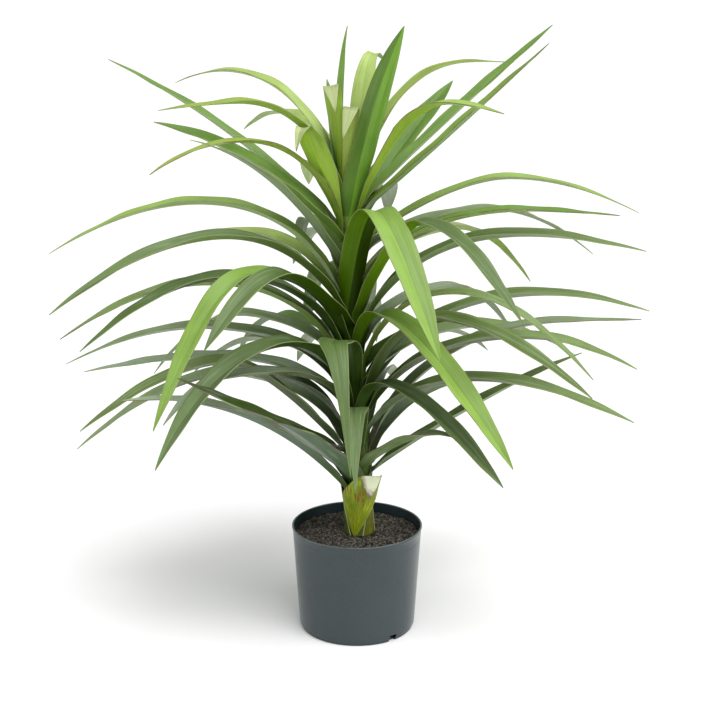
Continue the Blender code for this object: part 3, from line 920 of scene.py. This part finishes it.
# Soil
soilShape = {
    "top": 128.5,
    "crown": 2.0,
    "crownFalls": (30.0, 80.0),  # between these radii
    "lumps": 1.5,
    "lumpScale": 0.09,
    "grit": 0.9,
    "gritScale": 0.7,
    "depth": 4.0,
    "rings": 90,
    "sectors": 260,
    "innerRadius": 8.0,
    "wallGap": 0.4,
    "grainsOffStem": 1.5,
    "grainsOffWall": 1.8,
    "grainStretch": ((0.8, 2.2), (0.6, 1.1), (0.5, 0.9)),
    "grainRoughness": 0.3,
    "grainLift": 0.3,
}
soilColours = {  # dark, light, and how fine the grain is
    "bed": ((0.018, 0.015, 0.012), (0.12, 0.108, 0.092), 330.0),
    "crumbs": ((0.075, 0.066, 0.055), (0.20, 0.18, 0.155), 260.0),
    "clods": ((0.012, 0.010, 0.008), (0.06, 0.053, 0.045), 260.0),
    "specks": ((0.24, 0.22, 0.185), (0.42, 0.385, 0.33), 300.0),
}
soilFinish = {"patchScale": 40.0, "roughness": (0.85, 0.98), "relief": 0.5, "gloss": 0.2}
soilGrains = {  # how many, and the sizes between which they lie
    "crumbs": (5600, 0.4, 1.5),
    "clods": (2600, 0.5, 1.6),
    "specks": (1500, 0.35, 1.0),
}


def soilHeight(x, y):
    shape = soilShape
    spot = Vector((x, y, 0.0))
    lumps = noise.fractal(spot * shape["lumpScale"], 1.0, 2.0, 4)
    grit = noise.noise(spot * shape["gritScale"])
    fall = shape["crown"] * between(*shape["crownFalls"], math.hypot(x, y))
    return shape["top"] - fall + shape["lumps"] * lumps + shape["grit"] * grit - shape["grit"]


def soilMaterial(kind):
    look = soilFinish
    dark, light, scale = soilColours[kind]
    material, tree, shader = newMaterial("soil" + kind.capitalize())
    place = objectPlace(tree)
    grain = noiseOf(tree, place, scale, 4.0, 0.7)
    patch = noiseOf(tree, place, look["patchScale"])
    colour = blended(tree, ranged(tree, grain, 0.4, 0.62), dark, light)
    colour = blended(tree, ranged(tree, patch, 0.4, 0.6, 0.0, 0.35), colour, shaded(dark, 0.6))
    roughness = ranged(tree, grain, 0.3, 0.7, *look["roughness"])
    dressShader(tree, shader, colour, roughness, look["gloss"])
    bumped(tree, shader, grain, look["relief"], 0.8)
    return material


def makeSoil():
    shape = soilShape
    outer = potWall(shape["top"]) - potShape["wall"] - shape["wallGap"]

    def place(around, out):
        spot = outward(-360.0 * around) * mix(shape["innerRadius"], outer, out)
        spot.z = soilHeight(spot.x, spot.y)
        return spot

    mesh = sheetMesh("soil_bed", evenly(shape["sectors"]), evenly(shape["rings"]), place)
    weld(mesh)
    soil = addObject("soil_bed", mesh, [soilMaterial("bed")])
    thicken(soil, shape["depth"], -1.0)
    finishPiece(soil, "soil", "soil")
    for kind in soilGrains:
        scatter(kind, outer)


def scatter(kind, outer):
    shape = soilShape
    count, *sizes = soilGrains[kind]
    chance = random.Random(kind)
    bm = bmesh.new()
    bmesh.ops.create_icosphere(bm, subdivisions=1, radius=1.0)
    ball = np.array([vert.co for vert in bm.verts])
    faces = np.array([[vert.index for vert in face.verts] for face in bm.faces])
    bm.free()
    allPoints, allFaces = [], []
    stem = Vector((stemCentre(shape["top"]).x, 0.0, 0.0))
    nearest = stemShape["footRadius"] + shape["grainsOffStem"]
    while len(allPoints) < count:
        radius = outer * math.sqrt(chance.random())
        spot = outward(chance.uniform(0.0, 360.0)) * radius
        if (spot - stem).length < nearest or radius > outer - shape["grainsOffWall"]:
            continue
        size = mix(*sizes, chance.random() ** 2)
        stretch = np.array([chance.uniform(*span) for span in shape["grainStretch"]]) * size
        dents = np.array([chance.uniform(-1.0, 1.0) for _ in ball])[:, None]
        rough = 1.0 + shape["grainRoughness"] * dents
        turn = np.array(Matrix.Rotation(chance.uniform(0.0, math.tau), 3, "Z"))
        spot.z = soilHeight(spot.x, spot.y) + shape["grainLift"] * size
        allFaces.append(faces + len(allPoints) * len(ball))
        allPoints.append((ball * rough * stretch) @ turn.T + np.array(spot))
    mesh = bpy.data.meshes.new("soil_" + kind)
    mesh.from_pydata((np.concatenate(allPoints) * mm).tolist(), [], np.concatenate(allFaces).tolist())
    grains = addObject("soil_" + kind, mesh, [soilMaterial(kind)])
    finishPiece(grains, "soil")


makeSoil()
print("soil made")

# Lowest leaf bases, round the stem's foot. Bearings are from the front: right above 0, left below
sheathShape = {
    "bottom": 129.0,
    "edgeHeight": 55.0,  # the edges reach their second bearing this far above the bottom
    "mostClimb": 1.1,
    "flareHeight": 214.6,
    "flarePower": 2.2,
    "cornerDrop": 2.0,
    "ripple": 0.5,
    "thickness": 1.1,
    "columns": 36,
    "rows": 36,
}
sheaths = {
    "front": {"left": (-21.0, -88.0), "right": (-15.0, 86.0), "top": (172.0, 213.5, 207.0), "lift": 1.6,
              "flare": (9.0, 8.0, 16.5), "green": (0.24, 0.35, 0.004), "stain": (0.16, 0.05, 0.008),
              "stained": 0.9},
    # the left base's green is darkened overall: painted shade from the front base's edge
    "left": {"left": (-200.0, -200.0), "right": (-33.0, -88.0), "top": (196.0, 204.0, 200.0), "lift": 1.0,
             "flare": (5.0, 7.0, 8.5), "green": (0.05, 0.09, 0.004), "stain": (0.10, 0.06, 0.012),
             "stained": 0.5},
    "right": {"left": (10.0, 48.0), "right": (190.0, 190.0), "top": (172.0, 182.0, 196.0), "lift": 0.1,
              "flare": (0.5, 1.5, 5.0), "green": (0.11, 0.15, 0.008), "stain": (0.15, 0.055, 0.012),
              "stained": 0.9},
    "tongue": {"left": (90.0, 112.0), "right": (122.0, 128.0), "top": (206.0, 228.0, 200.0), "lift": 0.5,
               "flare": (5.0, 4.0, 3.0), "green": (0.30, 0.40, 0.14), "stain": (0.20, 0.24, 0.06),
               "stained": 0.6},
}
sheathFinish = {
    "shades": (0.45, 1.25, 1.6),  # of its green: dark, light, and along the fibres
    "edge": (0.46, 0.52, 0.20),
    "edgeWidth": (0.012, 0.026),
    "streaks": (26.0, 2.5),
    "fibres": (120.0, 4.0),
    "fibreShare": 0.4,
    "patchScale": 70.0,
    "roughness": (0.34, 0.55),
    "relief": 0.6,
    "gloss": 0.3,
}
flapShape = {
    "fold": ((4.6, -25.0, 212.6), (29.5, -17.5, 209.6)),
    "tip": (16.6, -31.0, 185.6),
    "bendEnds": 0.1,  # as a share of the way to the tip
    "bendOut": (0.3, -1.0, 0.0),
    "bendReach": 0.8,
    "rise": 1.4,
    "starts": (0.5, -1.6, 0.0),
    "bulge": 3.0,
    "sideBulge": 0.4,
    "widens": 1.2,
    "thickness": 0.9,
    "columns": 20,
    "bendRows": 6,
    "rows": 24,
}
flapFinish = {
    "whites": ((0.68, 0.71, 0.52), (0.50, 0.56, 0.28)),
    "stain": (0.17, 0.09, 0.10),
    "fibres": (60.0, 3.0),
    "patchScale": 130.0,
    "roughness": (0.45, 0.6),
    "relief": 0.3,
}


def sheathMaterial(name, green, stain, stained):
    look = sheathFinish
    material, tree, shader = newMaterial("sheath_" + name)
    across, along = surfacePlace(tree)
    streak = streaksOf(tree, across, along, look["streaks"], 4.0, 0.65)
    patch = noiseOf(tree, objectPlace(tree), look["patchScale"], 4.0, 0.6)
    fibre = streaksOf(tree, across, along, look["fibres"])
    dark, light, fibrous = (shaded(green, share) for share in look["shades"])
    colour = blended(tree, ranged(tree, patch, 0.35, 0.65), dark, light)
    colour = blended(tree, ranged(tree, fibre, 0.4, 0.7, 0.0, 0.35), colour, fibrous)
    reach = ranged(tree, patch, 0.38, 0.56, 0.0, stained)
    stains = times(tree, ranged(tree, streak, 0.45, 0.57), reach)
    colour = blended(tree, stains, colour, stain)
    fromEdge = maths(tree, "MINIMUM", across, maths(tree, "SUBTRACT", 1.0, across))
    colour = blended(tree, ranged(tree, fromEdge, *look["edgeWidth"], 1.0, 0.0), colour, look["edge"])
    roughness = ranged(tree, streak, 0.3, 0.7, *look["roughness"])
    dressShader(tree, shader, colour, roughness, look["gloss"])
    relief = maths(tree, "ADD", streak, times(tree, fibre, look["fibreShare"]))
    bumped(tree, shader, relief, look["relief"], 0.7)
    return material


def flapMaterial():
    look = flapFinish
    material, tree, shader = newMaterial("sheath_flap")
    across, along = surfacePlace(tree)
    patch = noiseOf(tree, objectPlace(tree), look["patchScale"], 4.0, 0.65)
    fibre = streaksOf(tree, across, along, look["fibres"])
    colour = blended(tree, ranged(tree, fibre, 0.35, 0.65, 0.0, 0.6), *look["whites"])
    fromSide = ranged(tree, across, 0.0, 0.3, 1.0, 0.0)
    fromTip = ranged(tree, along, 0.5, 0.85)
    edges = maths(tree, "MAXIMUM", fromSide, fromTip)
    stains = times(tree, edges, ranged(tree, patch, 0.36, 0.5))
    colour = blended(tree, stains, colour, look["stain"])
    dressShader(tree, shader, colour, ranged(tree, patch, 0.3, 0.7, *look["roughness"]))
    bumped(tree, shader, fibre, look["relief"], 0.5)
    return material


def makeSheath(name, look, *nodes):
    shape = sheathShape

    def place(u, v):
        u = 1.0 - u
        rounding = shape["cornerDrop"] * (2.0 * u - 1.0) ** 8
        top = np.interp(u, (0.0, 0.5, 1.0), look["top"]) - rounding
        height = mix(shape["bottom"], top, v)
        above = height - shape["bottom"]
        climb = min(above / shape["edgeHeight"], shape["mostClimb"])
        turn = mix(mix(*look["left"], climb), mix(*look["right"], climb), u)
        share = above / (shape["flareHeight"] - shape["bottom"])
        flare = threeWay(look["flare"], u) * max(0.0, share) ** shape["flarePower"]
        ripple = shape["ripple"] * math.sin(u * 9.0 + height * 0.06) * share
        radius = stemRadius(height) + look["lift"] + flare + ripple
        return stemCentre(height) + outward(270.0 + turn) * radius

    mesh = sheetMesh("sheath_" + name, evenly(shape["columns"]), evenly(shape["rows"]), place)
    mesh.flip_normals()
    bark = sheathMaterial(name, look["green"], look["stain"], look["stained"])
    sheath = addObject("base_" + name, mesh, [bark])
    thicken(sheath, shape["thickness"], 0.0)
    finishPiece(sheath, "sheath", *nodes)


# The top right corner of the front base is folded over outwards, and shows its white inside
def makeFlap():
    look = flapShape
    start, end, tip = Vector(look["fold"][0]), Vector(look["fold"][1]), Vector(look["tip"])
    bendEnds = look["bendEnds"]

    def place(u, v):
        along = start.lerp(end, u)
        if v < bendEnds:
            turn = math.pi * v / bendEnds
            out = Vector(look["bendOut"]) * (1.0 - math.cos(turn)) * look["bendReach"]
            return along + out + Vector((0.0, 0.0, look["rise"] * math.sin(turn)))
        down = (v - bendEnds) / (1.0 - bendEnds)
        swell = math.sin(math.pi * down)
        spot = (along + Vector(look["starts"])).lerp(tip, down)
        spot.y -= look["bulge"] * swell * mix(look["sideBulge"], 1.0, math.sin(math.pi * u))
        spot.x += look["widens"] * swell * (2.0 * u - 1.0)
        return spot

    rows = [bendEnds * i / look["bendRows"] for i in range(look["bendRows"])]
    rows += [mix(bendEnds, 1.0, share) for share in evenly(look["rows"])]
    mesh = sheetMesh("sheath_flap", evenly(look["columns"]), rows, place)
    flap = addObject("base_flap", mesh, [flapMaterial()])
    thicken(flap, look["thickness"], 0.0)
    finishPiece(flap, "sheath")


for name, look in sheaths.items():
    makeSheath(name, look, *(("sheath",) if name == "front" else ()))
makeFlap()
print("leaf bases made")

# Camera at the photograph's viewing angle, floor and soft light
cameraLook = {
    "distance": 1750.0,
    "height": 823.0,
    "pitch": 14.8,
    "lens": 71.3,
    "shift": 3.0 / 720.0,  # 3 of the photograph's 720 pixels
}


def makeCamera():
    data = bpy.data.cameras.new("camera")
    data.lens = cameraLook["lens"]
    data.shift_x = cameraLook["shift"]
    camera = linked("camera", data)
    camera.location = Vector((0.0, -cameraLook["distance"], cameraLook["height"])) * mm
    camera.rotation_euler = (math.radians(90.0 - cameraLook["pitch"]), 0.0, 0.0)
    bpy.context.scene.camera = camera


# In metres
studio = {
    "floor": (0.9, 0.9, 0.9),
    "floorReach": 400.0,
    "floorRoughness": 0.9,
    "world": 0.46,
    "target": (0.0, 0.0, 0.4),
    "sun": {"from": (0.3, -0.5, 1.0), "spread": 48.0, "power": 3.0},
    "fill": {"place": (1.9, -0.9, 0.9), "size": 1.2, "power": 16.0},
    "side": {"place": (-1.9, -0.3, 0.8), "size": 1.2, "power": 12.0},
}


def aimLight(data, place, target):
    light = linked(data.name, data)
    light.location = place
    light.rotation_euler = (target - place).to_track_quat("-Z", "Y").to_euler()


def makeStudio():
    mesh = bpy.data.meshes.new("floor")
    reach = studio["floorReach"]
    corners = [(x * reach, y * reach, 0.0) for x, y in ((-1, -1), (1, -1), (1, 1), (-1, 1))]
    mesh.from_pydata(corners, [], [(0, 1, 2, 3)])
    material, tree, shader = newMaterial("paleFloor")
    grain = noiseOf(tree, objectPlace(tree), 3.0, 2.0)
    colour = blended(tree, grain, shaded(studio["floor"], 0.99), studio["floor"])
    dressShader(tree, shader, colour, studio["floorRoughness"])
    addObject("floor", mesh, [material])
    world = bpy.data.worlds.new("studio")
    bpy.context.scene.world = world
    world.use_nodes = True
    background = world.node_tree.nodes["Background"]
    background.inputs["Color"].default_value = (1.0, 1.0, 1.0, 1.0)
    background.inputs["Strength"].default_value = studio["world"]
    data = bpy.data.lights.new("sun", "SUN")
    data.angle = math.radians(studio["sun"]["spread"])
    data.energy = studio["sun"]["power"]
    aimLight(data, Vector(studio["sun"]["from"]), Vector((0.0, 0.0, 0.0)))
    for name in ("fill", "side"):
        look = studio[name]
        data = bpy.data.lights.new(name, "AREA")
        data.size = look["size"]
        data.energy = look["power"]
        aimLight(data, Vector(look["place"]), Vector(studio["target"]))
    bpy.context.scene.view_settings.view_transform = "Standard"


makeCamera()
makeStudio()
print("camera, floor and light set")
